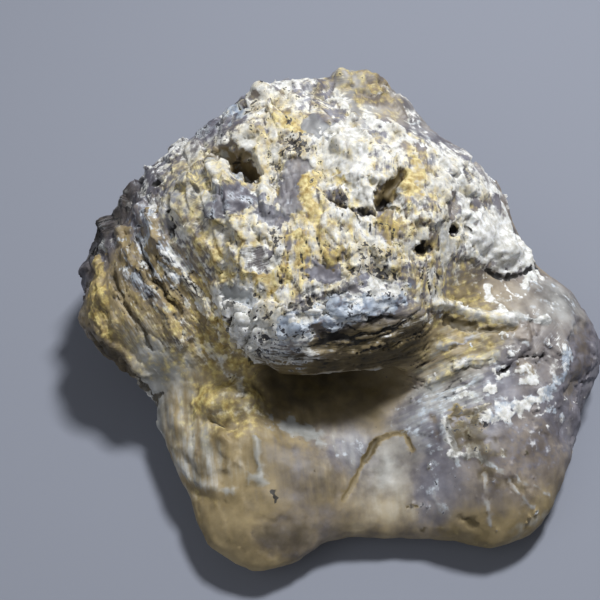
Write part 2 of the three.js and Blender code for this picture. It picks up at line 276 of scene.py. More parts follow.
# what several marks share
window = dict(crust=-0.3, gold=0, specks=0, pits=0)
# holes are painted near black inside: painted shade
hole = dict(slope=0.6, fray=0.4, crust=-0.3, dark=1)
groove = dict(fray=0.5, honey=1, crust=0, chips=0, gold=0)
whiteSpot = dict(gold=0, fray=1.5)
footStreak = dict(tan=0.6, stain=0, honey=0.4, fray=1.3, blend=1)
marks = {
    # crown
    # the vug's hollow is stained dark brown and its deep end painted near black: painted shade
    "vug": along([(-13.4, 10.2, 25.4), (-11.6, 9, 25.2), (-10, 7.8, 24.4)], 1.9, -2.2, slope=0.7, fray=0.5,
        crust=-0.3, gold=0, stain=0.65, dark=0, honey=0.8, chips=0, specks=0),
    "vug deep end": along([(-11.4, 9.4, 25), (-9.7, 7.6, 24.2)], 1, -2.2, slope=0.5, fray=0.3, crust=-0.5,
        dark=1),
    "vug chip": along([(-12, 7.1, 24), (-11, 6.8, 24)], 0.9, 0.9, fray=0.4, frost=0.7, dark=0, stain=0,
        crust=0.1),
    "vug ridge": along([(-9.2, 10.6, 25), (-8.7, 8, 25), (-8.5, 5.4, 25), (-8.2, 2.2, 24.8)], 0.8, 0.85,
        fray=0.4, crust=1.2, gold=0.5, dark=0, stain=0, smoke=0),
    "chunk below vug": along([(-13.6, 3, 24.6), (-10.4, 3.8, 25)], 2.3, 0.5, fray=0.6, crust=-0.2, gold=0,
        smoke=0.85, frost=0.4, specks=0.5, stain=0, chips=0.5),
    "lilac window": along([(-3.4, 12.6, 26.7), (-1.6, 11.8, 26.7)], 1.9, -0.3, fray=0.6, milk=0.7, chips=0.1,
        **window),
    "brown window": along([(-4.9, 7.4, 25.6), (-5.6, 3.2, 25.6)], 1.9, -0.35, fray=0.4, tan=0.5, smoke=0.4,
        milk=0.3, chips=0.15, **window),
    "side window": along([(12, 6, 22.6), (12, 3.8, 22)], 1, -0.3, fray=0.6, tan=0.9, smoke=0.5, chips=0.2,
        **window),
    "top patch": along([(-6.4, 13.2, 27), (-5.6, 12.4, 27)], 1.3, 0, gold=1, crust=0.8),
    "yellow streak": along([(-3.9, 6, 25.4), (-3.4, 2.4, 25)], 1, 0.2, gold=1, crust=0.85, tan=0),
    "orange fleck": along([(-0.4, 6.2, 25.7), (0.8, 5.4, 25.7)], 0.8, 0, gold=1),
    "yellow slope": along([(7, 4.4, 25.4), (8.4, 7.6, 25.9)], 1.2, 0, gold=0.9, crust=0.8),
    "grey chip": along([(-8.2, 2.2, 24.7), (-7, 1, 24.7)], 1.4, -0.2, crust=-0.1, gold=0, smoke=0.5,
        specks=0.3),
    "ribbed chip": along([(-9.8, -2.4, 22.9), (-8.9, -3.6, 22.5)], 1.5, -0.2, crust=0.2, gold=0, chips=1,
        blades=0.2, milk=0.3),
    "ochre patch": along([(-14, -0.4, 22.4), (-13, -2, 21.4)], 2.2, 0.2, crust=0.5, gold=0.65, honey=0.6,
        milk=0.3, smoke=0),
    "yellow blade": along([(-4.4, -0.8, 24), (-4.6, -3.4, 23)], 0.9, 0.2, gold=1, crust=0.8),
    "yellow chip": along([(-8.6, -4.8, 21.8), (-7.8, -5.6, 21.6)], 1.1, 0.1, gold=0.9, crust=0.5, honey=0.9),
    "cream band": along([(-11.8, 1, 24.2), (-9.4, 0.6, 24.4), (-7.4, -0.8, 24)], 1, 0.2, crust=1, gold=0.35,
        smoke=0),
    "cream shelf": along([(-0.4, 1.6, 24.7), (1.4, 1.4, 24.6), (3.2, 0.2, 24.2)], 1, 0.3, crust=1, gold=0.25,
        blades=1),
    "speckled patch": along([(-6, 11, 26.6), (-5.2, 9.6, 26.6)], 1.5, -0.1, crust=0.6, specks=1, smoke=0.3),
    "speckled patch low": along([(2.4, -3.2, 22.6), (4.6, -4.2, 21.8)], 1.7, -0.1, crust=0.6, specks=1,
        smoke=0.4),
    "speckled patch left": along([(-7.6, 0, 24), (-6.6, -1.4, 23.7)], 1.2, -0.1, crust=0.4, specks=1,
        smoke=0.5),
    "blue patch": along([(-12.2, 16, 25), (-10.2, 15.4, 25.6)], 1.5, 0.2, crust=0.3, frost=0.9, specks=0.6),
    "crest bump": along([(-9, 18, 26.6), (-8.2, 17.6, 26.8)], 1.7, 0.9, fray=0.4, crust=0.5, tan=0.5),
    "crest dip": along([(-6.2, 17.8, 27.2), (-3.6, 18.2, 27), (-1.2, 18.4, 26.6)], 2.2, -1.3, fray=0.4),
    "peak bump": along([(0.8, 21, 25.4), (3.6, 21.4, 25)], 2.8, 1.4, fray=0.5, tan=1, honey=0.1, milk=0.3,
        gold=0.35, frost=0.2, crust=0.1, chips=0.5),
    "left chips": along([(-17, 7.4, 24), (-15.4, 4.4, 24.6)], 2.3, 0, crust=0.2, honey=0.1, milk=0.8,
        frost=0.3, gold=0.35, chips=1),
    "cream lobe": along([(0.2, 11, 26), (1.5, 8, 26), (2.2, 4.6, 26)], 3, 1.05, crust=1.2, gold=0.15,
        smoke=0, pits=0.15, chips=0.5, specks=0.2),
    # painted shadow: the overhang line under the cream lobe, and the cave and its mouth beside it, are
    # painted dark
    "overhang": along([(-1.4, 3.6, 25), (0.4, 2.3, 25), (3.2, 1.9, 25)], 0.42, -0.6, slope=0.6, fray=0.4,
        crust=-0.3, dark=0.7),
    "overhang fleck": along([(-1.2, 4.4, 25), (-0.2, 3.2, 25)], 0.8, -0.2, crust=0.4, specks=1, smoke=0.6),
    "cave": along([(4.2, 3.4, 25), (5.4, 5, 25.4), (6.2, 6.4, 25.8)], 1, -1.5, slope=0.7, fray=0.4,
        crust=-0.3, stain=0.75, honey=0.9, gold=0, dark=0, chips=0),
    "cave mouth": along([(4, 3, 24.8), (4.6, 3.6, 25)], 0.6, -1, slope=0.6, fray=0.3, dark=0.9),
    "cave side": along([(6.4, 4.8, 25.4), (7.4, 6, 25.6)], 0.8, 0.3, crust=0.6, gold=0.9, honey=0.8),
    "crystals": along([(4.8, 2.7, 25), (6.8, 2.6, 25)], 0.7, 0.3, crust=0.2, frost=0.7, smoke=0.6,
        specks=0.4),
    "tan chip": along([(4.9, 1.6, 24.6), (5.1, 0, 23.8)], 1.5, 0.15, crust=0.05, tan=0.9, honey=0.6,
        chips=0.2, blades=0.7),
    # painted shade: the holes and slots are painted dark inside
    "hole right": along([(8.9, -0.8, 22)], 1.1, -2.6, **hole),
    "hole right upper": along([(12.5, 2.7, 20.8)], 0.9, -2.2, **hole),
    "slot right": along([(13.8, 3.9, 20), (13.9, 2.6, 19)], 0.5, -1.2, crust=0, dark=0.9),
    "right hollow": along([(12.6, 5.8, 22), (12.7, 4, 21.6)], 0.9, -0.5, crust=0.2, tan=0.8, stain=0.3),
    "hole left": along([(-21.4, 10, 20.4), (-20.4, 9.8, 20.8)], 0.5, -1, crust=0, dark=1),
    "hole left lower": along([(-19.4, 5.2, 22)], 0.8, -1.6, crust=0, dark=0.8, stain=0.8),
    "slot left": along([(-19, 3.6, 21.4), (-19, 2, 20)], 0.5, -1, dark=0.9),
    "crest ridge": along([(3, 13, 26.4), (6.6, 12.2, 26), (10.4, 10.6, 24.6), (14, 8, 21.4), (14.4, 5, 20)],
        0.9, 0.55, crust=0.95, gold=0.15, tan=0),
    "olive facet": along([(-1.6, -3, 23.2), (-0.6, -2.6, 23.2)], 1, 0.35, crust=0.2, honey=0.9, gold=0.4,
        chips=0.2),
    "grey facet": along([(-2.6, -4.4, 22.6), (-0.8, -4.6, 22.6)], 1.3, -0.35, crust=-0.2, gold=0, smoke=0.55,
        chips=0.1, blades=0.1),
    "grey triangle": along([(-12.6, -4.7, 19.2), (-11.4, -5.4, 19.8), (-10.3, -6, 20.2)], 1.4, -0.6,
        crust=-0.3, smoke=0, milk=1, gold=0, frost=0.25, chips=0, blades=0, pits=0, specks=0, fray=0.5),
    "triangle sill": along([(-12.4, -3.7, 21), (-9.2, -3.8, 21.4)], 0.45, 0.3, crust=0.8, gold=1, dark=0),
    "curl": along([(4, -2.2, 22.6), (4.1, -3.8, 22), (5.2, -4.2, 21.4), (5.8, -2.8, 21.8)], 0.45, 0.4,
        crust=1, gold=0.6, dark=0),
    "curl middle": along([(4.9, -2.8, 22)], 0.5, -0.4, crust=0, smoke=0.9),
    # brow
    "brow end slope": along([(-13.1, -6.2, 16.1), (-12.5, -7.4, 13.4), (-11.1, -9.1, 11.4)], 1.4, -0.3,
        honey=1, gold=0.6, crust=0.15, frost=0, specks=0, smoke=0),
    # painted shade: the notch at the brow's end is painted dark inside
    "brow end": along([(-12.1, -6.7, 17.6), (-11.6, -7.9, 14.8), (-10, -8.9, 11.8)], 0.55, -0.5, dark=0.65,
        stain=0.6, crust=0, frost=0),
    "brow end knob": along([(-10.6, -8.3, 17.6), (-9.9, -9.2, 16.1)], 1.7, 0.7, fray=1.2, crust=1.6,
        frost=0.9, specks=0.7, chips=1, pits=0.8),
    "brow step": along([(-5.4, -7.4, 20.6), (-1.4, -6.6, 21), (2, -5.6, 21.4)], 0.7, -0.2, stain=0.4,
        crust=0.2, specks=0.9),
    "brow rim": along([(-5.4, -9.4, 19.2), (-1.4, -8.4, 20), (3, -7, 20.4), (5.4, -5.8, 20.2)], 1.7, 0.45,
        fray=0.9, frost=0.85, crust=0.15, gold=0, specks=0.5, dark=0),
    "brow fold": along([(-3.4, -10.4, 16.6), (-0.4, -10.6, 16), (2.6, -9.8, 16.4), (5, -8.6, 17)], 0.9, 0.35,
        fray=0.6, strata=1, smoke=0.8, stain=0.6),
    "brow bare patch": along([(-2.9, -8.9, 19.4), (-2.5, -9.6, 18.8)], 0.8, 0, frost=0, tan=0.6, crust=0),
    "brow white": along([(3.2, -5.6, 21), (5.6, -5.2, 20.6)], 0.9, 0.2, frost=1, crust=0.9, gold=0),
    "shaded bed": along([(-2.4, -10.2, 18), (1, -9.6, 18.4), (4.2, -8.2, 19)], 1.2, -0.2, stain=0.8, smoke=1,
        frost=0, crust=0, strata=1),
    # painted shade: the grooves across the brow face are darkened
    "dark groove": along([(-7, -10.7, 16.2), (-2, -11, 15.6), (2, -10.8, 15.4)], 0.6, -0.25, stain=0.8,
        dark=0.35),
    "dark groove right": along([(4.6, -9.6, 17), (7, -8.6, 16.4), (9, -6.8, 16)], 0.7, -0.25, stain=0.7,
        dark=0.3),
    "lip": along([(-6.4, -10.4, 13), (-2, -10.9, 12.6), (3, -10.6, 12.4), (7.4, -8.9, 12.4)], 2.8, 1,
        toward=(0, -0.8, -0.6), fray=0.12, strata=0.6, chips=0),
    "lip strip": along([(-4, -11, 12.6), (0, -11.2, 12.4), (4, -10.8, 12.4)], 0.6, 0.1, milk=0.6, tan=0.5,
        stain=0.2, dark=0),
    # left shoulder
    "shoulder rib": along([(-21, 6, 19.8), (-19.4, 1.3, 19), (-14.9, -3.7, 16.6), (-12.7, -7.2, 14)], 1.1,
        0.6, crust=0.3, frost=0.5, honey=0.6),
    "outer rib": along([(-25, 6, 17), (-23.4, 1.5, 17), (-20, -3.4, 15.6), (-17.4, -6.6, 12.8)], 1.2, 0.5,
        crust=0.1, frost=0.35, smoke=0.3, honey=0.7),
    # painted shade: the clefts between the ribs are stained and darkened
    "cleft": along([(-22.8, 3.4, 18.4), (-20.8, -1.2, 17.4), (-17.6, -4.6, 15.2)], 0.5, -0.6, crust=-0.2,
        gold=0, stain=0.8, dark=0.4),
    "cleft lower": along([(-25.6, 0.6, 15.8), (-23.6, -3.4, 14.8), (-20.6, -6.4, 12)], 0.45, -0.5,
        crust=-0.2, gold=0, stain=0.7, dark=0.2),
    "orange patch": along([(-26.4, -1, 14.4), (-25.6, -2.8, 13.8)], 1, 0.2, gold=0.75, honey=1, ribs=0.4),
    "yellow rim patch": along([(-28, 0.6, 13), (-27, -2.4, 12.6), (-25.4, -4.6, 12)], 1, 0.3, gold=0.6,
        honey=1),
    "shoulder knob": along([(-27.4, 8.6, 13.6)], 2.4, 0.7, fray=0.3),
    "shoulder knob upper": along([(-24.6, 12.4, 15.4)], 2.4, 0.7, fray=0.3),
    # painted shade: the dips between the knobs are painted dark
    "shoulder dip": along([(-26.6, 10.8, 14)], 1.4, -0.7, dark=1),
    "edge knob": along([(-29.4, 3.8, 11.6)], 1.9, 0.6, fray=0.3),
    "edge dip": along([(-29, 6, 11.8), (-28, 6, 13.6)], 1, -0.7, dark=0.8),
    "edge dip low": along([(-29.6, 1.4, 10.6), (-29, 1.4, 12.4)], 0.9, -0.6, stain=0.8),
    "edge knob low": along([(-29.3, -1.6, 10)], 1.8, 0.6, fray=0.3),
    "pale spot": along([(-27.2, 5.6, 14.4)], 1.2, 0.2, milk=1, frost=0.4, dark=0, crust=0.2),
    "blue blade": along([(-22.4, 7.4, 18.4), (-21, 4.4, 19.2), (-19.6, 1.8, 19.2)], 1.5, 0.45, fray=0.8,
        frost=0.45, crust=0.1, dark=0, stain=0, gold=0, smoke=0.3, ribs=0.7),
    "cream blade": along([(-19, 0.2, 18.4), (-18.2, -2.4, 17.2)], 0.8, 0.3, crust=0.3, frost=0.5, gold=0.1),
    "yellow blades": along([(-27.6, 3.6, 13.9), (-27, -0.6, 14.2), (-25.2, -4.2, 13.6)], 1, 0.35, gold=0.5,
        honey=1, smoke=0, dark=0, stain=0),
    "rim ledge": along([(-27.6, -2.6, 12.2), (-25, -5.6, 10.8), (-21.8, -8.4, 9.6)], 1.1, 0.6, fray=0.8),
    "rim shade": along([(-28, -4, 9), (-25, -6.8, 8), (-22, -10, 6)], 1.9, -0.6, tan=1, stain=0.9, gold=0,
        smoke=0.5),
    # apron and feet
    "knob": along([(-14, -12.2, 9.2), (-10.6, -12.4, 9.6)], 2.8, 1.4, crust=0.3, gold=0.65, honey=1,
        milk=0.4, chips=0, fray=0.3, stain=0),
    # painted shade: the crease around the knob is stained dark
    "knob crease": along([(-14.4, -14.6, 9), (-11.6, -15.2, 9.3), (-9.8, -13.8, 9.6)], 0.8, -0.7, honey=0.9,
        stain=0.45),
    "white streak": along([(-9.5, -16.9, 9.7), (-9, -18.6, 9.4), (-8.8, -20.8, 8.9)], 0.75, 0.2, fray=0.7,
        milk=1, honey=0.9, stain=0, flutes=0, blend=1.1),
    "streak foot": along([(-9.8, -21.1, 8.8), (-8.5, -21.4, 8.6)], 0.8, 0.15, fray=0.8, milk=0.9, honey=0.9,
        stain=0, flutes=0, blend=1.1),
    "foot fold": along([(-17.9, -18, 6.2), (-16.5, -20, 6.4), (-14, -21.8, 7.1), (-12, -22.4, 7.8)], 0.9,
        0.2, fray=0.7, milk=0.8, honey=0.9, stain=0, blend=1.3),
    "foot fold shade": along([(-17.6, -19.6, 5.4), (-15.4, -21.9, 6), (-12.6, -23.4, 7.2)], 0.8, -0.15,
        fray=0.7, honey=1, gold=0.15, stain=0.2, milk=0, blend=1.3),
    "apron ledge": along([(-18.4, -13, 7.4), (-16.8, -17, 7.4), (-14.6, -19.4, 8)], 1.5, 0.35, fray=0.6,
        blend=1.3),
    "apron swell": along([(-12.6, -16.6, 9.4), (-12, -19.6, 8.8)], 1.3, 0.4, blend=1.3),
    "grain patch": along([(-6.4, -14.4, 7.7), (-4.6, -15, 7.6), (-3.1, -16, 7.6)], 1.5, 0.05, milk=0.95,
        specks=0.3, flutes=0),
    "grey band": along([(-4.4, -17.2, 8.3), (-3.5, -19.4, 8.8), (-3.4, -22.4, 7.8)], 2.3, 0, smoke=0.9,
        honey=0.5, tan=0.8, stain=0.5, milk=0, flutes=0.4, blend=1.3),
    "arch line": along([(0.3, -22.8, 6.7), (1.2, -20.4, 6.4), (2.2, -18.3, 6.1), (3.7, -15.6, 6.5),
        (5.6, -14.9, 7), (7, -15.2, 7.5), (7.8, -17, 7.1)], 0.4, -0.18, stain=0.6, honey=1, milk=0,
        fray=0.35),
    "arch line thick": along([(2.6, -17.6, 6.2), (3.8, -15.7, 6.5)], 0.5, -0.15, stain=0.8, honey=1,
        fray=0.5),
    "arch middle": along([(5, -17.6, 6), (4.4, -20, 5.6)], 2, 0.2, fray=0.5, milk=0.8, honey=0.6, frost=0,
        blend=1.3),
    "arch foot": along([(4.4, -22.6, 5.4), (5.6, -23.4, 5.2)], 1.6, 0, honey=0.8, milk=0.3, blend=1.3),
    "comma": along([(7, -23.1, 5.4), (7.5, -22.7, 5.5), (8, -22.8, 5.6)], 0.28, -0.15, stain=1, honey=1),
    "black speck": along([(-7.5, -22.8, 8.2), (-7.1, -23.6, 8.1)], 0.3, -0.15, fray=1, dark=1.2, milk=0),
    "grey foot patch": along([(-8, -26.9, 6.4), (-6.4, -27.3, 5.8), (-4.9, -26.8, 5.6)], 2.7, -0.12,
        slope=0.4, fray=0.3, smoke=0.65, tan=1, honey=0.4, stain=0.75, milk=0, blend=0.8),
    "brown foot patch": along([(-12, -27, 5.9), (-10.6, -27.8, 5.6)], 1.2, 0, stain=0.6, tan=0.8, blend=1.3),
    "pale band": along([(-14.9, -15.3, 8.6), (-14.5, -18.7, 8), (-13.9, -21.4, 7.2)], 1, 0.15, milk=0.7,
        fray=0.6, blend=1.3),
    "orange wax": along([(-12.8, -16, 9.2), (-11.4, -18.6, 9.2)], 1.6, 0.05, honey=1, tan=0.6, milk=0,
        smoke=0, fray=0.5, blend=1.3),
    "foot spot": along([(-0.6, -25.4, 4.6)], 0.35, 0, stain=1, dark=0.5),
    "foot spot right": along([(8.6, -25.2, 4.1)], 0.45, 0, stain=0.9),
    "foot shade": along([(15, -21.2, 8.7), (16.8, -21.6, 8.4), (19.6, -21.6, 7.6)], 1.5, -0.25, tan=1,
        stain=0.75, milk=0, smoke=0, honey=0.4, blend=1.1),
    "foot streak": along([(16.7, -20.9, 9), (18.6, -22.5, 8), (20.7, -23.6, 5.7)], 0.35, 0.08, milk=0.65,
        **footStreak),
    "foot streak left": along([(15.2, -21.1, 8.9), (14.9, -23.3, 7.7), (16, -25.7, 5.8)], 0.35, 0.08,
        milk=0.6, **footStreak),
    "foot streak right": along([(17.6, -20.4, 9), (20, -21.4, 7.6), (22.5, -21.7, 5.3)], 0.3, 0.08, milk=0.6,
        **footStreak),
    "lilac specks": along([(9.6, -21.7, 6.8), (10.2, -22.9, 6.4), (11, -24.1, 5.9)], 0.8, 0.05, frost=0.35,
        milk=0.4, specks=0.35, smoke=0.3, fray=1.3),
    "brown pocket": along([(13.6, -25, 6.2), (14, -25.6, 5.8)], 1.1, -0.25, stain=1, tan=1, smoke=0,
        dark=0.25, blend=1),
    "brown foot edge": along([(11.6, -25.6, 4.6), (15.7, -26.8, 4.2), (18, -26.2, 4)], 1.4, 0, stain=0.55,
        honey=1.1, gold=0.1, smoke=0, tan=0, blend=1.2),
    "olive foot edge": along([(18.9, -25.6, 5.2), (22.2, -23.4, 4.3)], 1.4, 0, honey=1.1, gold=0, milk=0.5,
        smoke=0, stain=0, blend=1.1),
    "lace patch": along([(12.8, -16.2, 10), (14, -17.6, 9.9), (15, -18.4, 9.6)], 2, 0.05, lace=0.5,
        frost=0.35, specks=0.45, tan=0.6, honey=0.5, gold=0.2, stain=0.8),
    # right wing
    "tongue": along([(15, 4.6, 18), (18.4, 4.8, 15), (21, 4.8, 12.8)], 3.2, 0.7, fray=0.5, crust=2,
        frost=0.6, gold=0, tan=0, smoke=0, specks=0.1, pits=0, chips=0.1),
    "tongue tip": along([(18.6, 4.4, 15), (21, 4.2, 13)], 2.9, 1.1, fray=0.7, crust=2, frost=0.6, tan=0,
        smoke=0),
    # painted shade: the crack is painted dark inside
    "tongue crack": along([(16.4, 1.8, 14.6), (18.8, 1.5, 13.4), (21, 2.6, 12.6), (22.4, 4.4, 12)], 0.4,
        -0.9, crust=0.1, dark=0.9),
    "fan ridge": along([(10.2, -4.4, 17), (12, -3.2, 14.8), (14.3, -3.6, 14), (16.5, -4, 13.8),
        (19.2, -4, 13.6)], 0.9, 0.6, crust=0.85, gold=0.45, milk=1.2, honey=0.8, chips=0, fan=0.3,
        fray=0.25),
    "fan ridge end": along([(19, -4, 13.6), (20.8, -4, 13.4), (23.4, -3.4, 12.8)], 0.6, 0.3, crust=0.5,
        milk=1, gold=0, fray=1, chips=0),
    # painted shade: the grooves along the fan are stained dark
    "fan groove": along([(11.4, -4.8, 14.4), (13.1, -4.8, 13.7), (14.6, -5, 13.6)], 0.7, -0.45, stain=0.9,
        **groove),
    "fan groove low": along([(15.3, -5.4, 13.5), (17.5, -5.4, 13.3), (19, -5.1, 13.3)], 0.6, -0.35,
        stain=0.75, **groove),
    "fan rib": along([(9.7, -10.7, 10.4), (13.5, -8.8, 12), (16.6, -8.2, 12.2)], 0.8, 0.35, fray=0.5,
        milk=0.9, honey=0.9, gold=0.3, crust=0.2),
    "fan rib low": along([(10.4, -12.4, 10), (14.8, -10.4, 11)], 0.5, 0.2, milk=0.8, frost=0.5),
    "fan rib high": along([(10.6, -7.4, 13), (13.8, -6.6, 13.2)], 0.5, 0.2, milk=0.7, honey=0.3),
    # painted shade: the crack is painted dark inside
    "wing crack": along([(17.2, -9.8, 11.4), (18.1, -9.2, 11.8), (19.1, -8, 12.2), (20.4, -8.3, 12),
        (22.6, -7.9, 11.8)], 0.35, -0.6, dark=0.9, crust=0),
    "pale patch": along([(19.4, -9.4, 11.5), (20.4, -9.5, 11.4)], 0.6, 0.1, crust=0.6, honey=0.5),
    "white spot": along([(15.6, -11.5, 10.8), (16.4, -11.2, 10.9)], 0.6, 0.05, crust=0.7, **whiteSpot),
    "white spot upper": along([(17, -10, 11.2), (17.8, -9.9, 11.4)], 0.45, 0.05, crust=0.7, **whiteSpot),
    "white spot right": along([(19.8, -10.4, 11.2), (21, -10.2, 11)], 0.4, 0.05, crust=0.6, **whiteSpot),
    "white spot left": along([(12.8, -11.9, 10.5), (13.4, -11.5, 10.8)], 0.5, 0.05, crust=0.6, **whiteSpot),
    "spot ring": along([(19.8, -13.2, 9.9), (20.2, -12.3, 10.2), (21.2, -12.3, 10), (21.4, -13.2, 9.8)], 0.4,
        0.1, crust=0.8, gold=0),
    "edge ring": along([(23.3, -9.8, 10.8), (23.6, -8.8, 11), (24.5, -9, 10.8), (24.3, -10, 10.4)], 0.35,
        0.1, crust=0.7, gold=0),
    "crust band": along([(15, -15.1, 10.4), (18.8, -13.7, 10.1), (21.7, -11.9, 10.2), (24.1, -10, 10.3),
        (25, -8.3, 10.8), (24.8, -6.4, 11.7)], 0.75, 0.08, fray=1.2, crust=0.55, frost=0.9, gold=0,
        smoke=0),
    "crust spur": along([(23, -12.6, 9.4), (24.4, -13.4, 8.6)], 0.6, 0.05, crust=0.5, frost=0.6, gold=0,
        fray=1.4),
    "ridge spur": along([(16.6, 0, 13.8), (17.1, -2, 13.8), (18.2, -3.3, 13.8)], 0.6, 0.15, crust=0.6,
        gold=0, fray=1.3),
    "edge facet": along([(27.9, -3.6, 10.3), (27.5, -5.9, 10), (26.9, -7.9, 9.6), (26.2, -10.4, 8.8)], 2.3,
        -0.4, slope=0.5, fray=0.4, tan=0.9, stain=0.55, honey=0.2, smoke=0.5, chips=0, crust=0, frost=0,
        lace=0, blend=0.9),
    "green crust": along([(12.4, -14.2, 10.5), (14.6, -14.5, 10.4)], 1.3, 0.1, crust=0.3, gold=0.4,
        honey=0.8, stain=0.9, specks=0.65, smoke=0.5, milk=0, frost=0, lace=0.2, fray=1.2, blend=0.6),
    "strand": along([(10.9, -13.4, 10.2), (11.2, -15.6, 9.8), (12.1, -18, 9.3), (12.3, -19.2, 9)], 0.45, 0.1,
        crust=0.35, milk=1, frost=0.5, gold=0, fray=1.3),
    "strand shade": along([(9.9, -14.6, 9.4), (10.4, -17, 9)], 0.9, -0.15, stain=0.5, tan=0.7, smoke=0.4,
        milk=0, blend=1.3),
    "cross strand": along([(11.6, -18.6, 8.9), (14.2, -18.6, 9.7), (16.6, -20.4, 9.1)], 0.5, 0.1, crust=0.3,
        milk=0.8, frost=0.5, fray=1.4),
}


def onSkin(mark, skin):
    # the mark's path laid on the blank, with the way that the skin faces there
    laid = []
    for place in mark["path"]:
        spot, facing = skin.find_nearest(Vector(place) * mm)[:2]
        laid.append((np.array(spot) / mm, np.array(mark.get("toward", facing))))
    return laid if len(laid) > 1 else laid * 2


def frays(places):
    # how far each place is pushed about for a ragged edge, how much wider or narrower a mark is
    # there, and how broken its finishes are
    pushed = shoved(shoved(places, 2.2, 0.45, 3), 0.8, 0.2, 4) - places
    return pushed, hills(places, 1.1, 5, 2), 0.7 * hills(places, 0.9, 7, 3)


def markShare(mark, places, pushed, ragged, skin):
    # which places the mark reaches, how much each belongs to it, and the way the skin faces there
    reach = 3.5  # how far off the skin a mark still reaches
    laid = onSkin(mark, skin)
    width = mark["width"]
    fray = mark.get("fray", 1)
    low = np.min([spot for spot, _ in laid], axis=0) - 2 * width - reach
    high = np.max([spot for spot, _ in laid], axis=0) + 2 * width + reach
    close = np.flatnonzero(((places > low) & (places < high)).all(1))
    near = places[close] + fray * pushed[close]
    wide = width * (1 + fray * ragged[close])
    share = np.zeros(len(near))
    facing = np.zeros((len(near), 3))
    for (a, aFacing), (b, bFacing) in zip(laid, laid[1:]):
        way = b - a
        done = np.clip((near - a) @ way / max(way @ way, 1e-9), 0, 1)[:, None]
        out = aFacing + done * (bFacing - aFacing)
        out /= np.linalg.norm(out, axis=1)[:, None]
        off = near - a - done * way
        lift = (off * out).sum(1)
        side = np.linalg.norm(off - lift[:, None] * out, axis=1)
        here = np.where(np.abs(lift) < reach, 1 - side / wide, 0)
        better = here > share
        share[better] = here[better]
        facing[better] = out[better]
    return close, share, facing


def pressMarks(mesh, skin, chosen):
    # pushes the chosen marks into or out of the mesh
    spots, _ = corners(mesh)
    pushed, ragged, _ = frays(spots)
    uneven = hills(spots, 2.1, 6, 2)
    start = spots.copy()
    for name in chosen:
        close, share, facing = markShare(marks[name], start, pushed, ragged, skin)
        rise = marks[name]["rise"] * ease(share, 0, marks[name].get("slope", 1))
        rise *= 1 + marks[name].get("fray", 1) * uneven[close]
        spots[close] += rise[:, None] * facing
    moveCorners(mesh, spots)


# where each look lies

